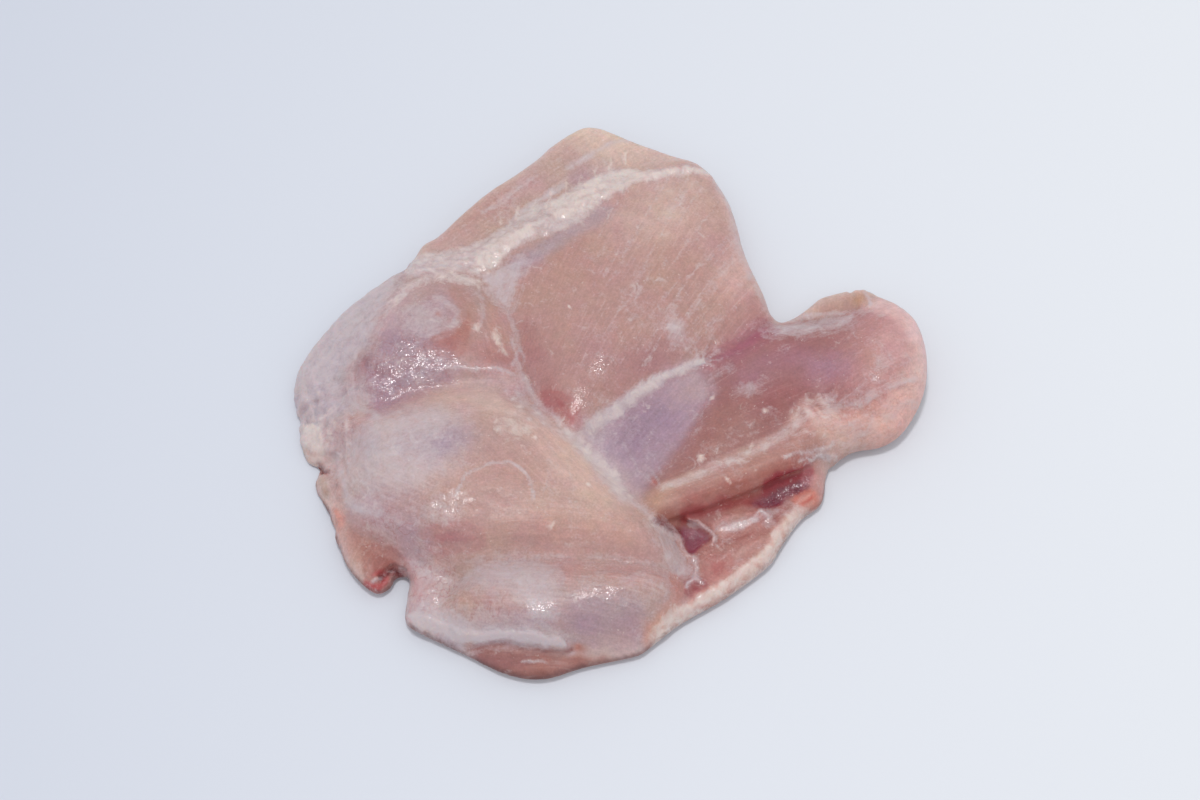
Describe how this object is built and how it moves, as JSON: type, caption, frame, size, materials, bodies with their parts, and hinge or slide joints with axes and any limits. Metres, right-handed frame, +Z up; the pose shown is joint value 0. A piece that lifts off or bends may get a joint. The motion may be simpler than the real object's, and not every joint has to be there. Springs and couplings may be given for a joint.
{
  "type": "raw boneless chicken thigh",
  "caption": "Raw boneless, skinless chicken thigh, opened flat with its muscles, fat and membranes facing up, lying on its smooth side.",
  "frame": {"origin": "centre of the thigh's bounding box in plan, on the surface that it lies on", "axes": "+Z up through the thickness, +X towards the thick rounded end, +Y towards the far pointed end of the long strip muscle"},
  "size_m": [0.1416, 0.1378, 0.0175],
  "materials": {
    "raw_chicken": null
  },
  "bodies": {
    "root": {"chicken_thigh": "raw_chicken"}
  },
  "joints": []
}
